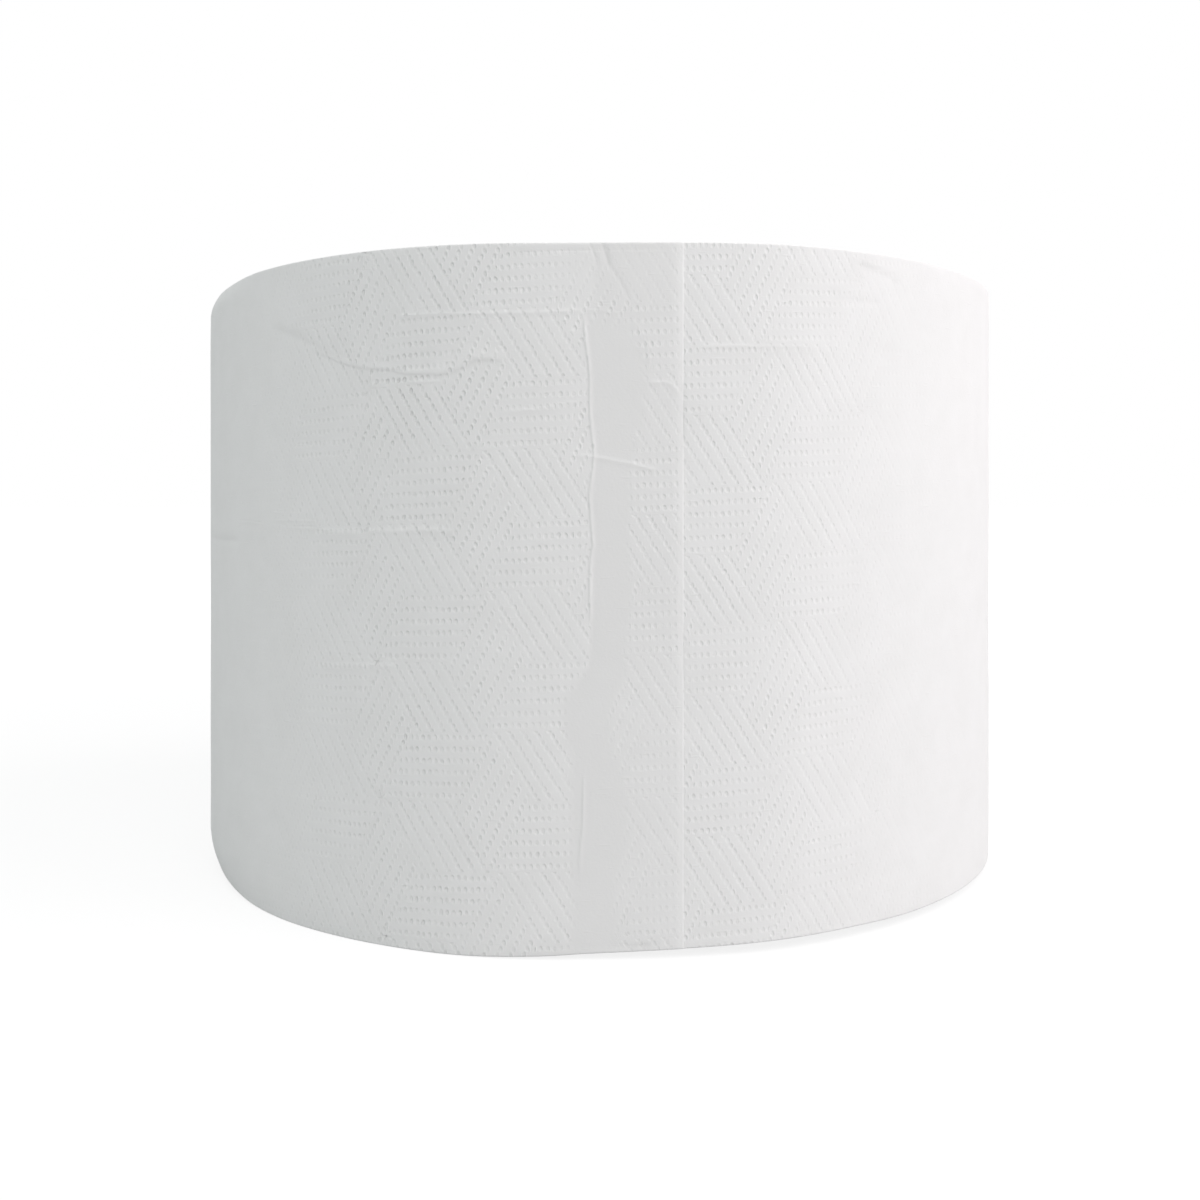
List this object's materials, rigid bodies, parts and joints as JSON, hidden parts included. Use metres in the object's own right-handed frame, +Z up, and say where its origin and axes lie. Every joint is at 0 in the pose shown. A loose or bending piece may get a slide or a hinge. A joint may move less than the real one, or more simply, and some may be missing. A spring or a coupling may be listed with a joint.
{
  "type": "industrial paper towel roll",
  "caption": "Wide, squat roll of white embossed paper towel wound on a cardboard core, standing on its end with the tail of the sheet glued down.",
  "frame": {"origin": "on the winding axis, in the plane of the roll's lower end", "axes": "+Z up the winding axis, which is the spindle's axis; -Y towards the side where the sheet's tail is glued down"},
  "size_m": [0.3434, 0.3437, 0.24],
  "materials": {
    "towel_paper": "matte",
    "core_board": "matte"
  },
  "bodies": {
    "root": {"wound_towel": "towel_paper", "core_tube": "core_board"}
  },
  "joints": []
}
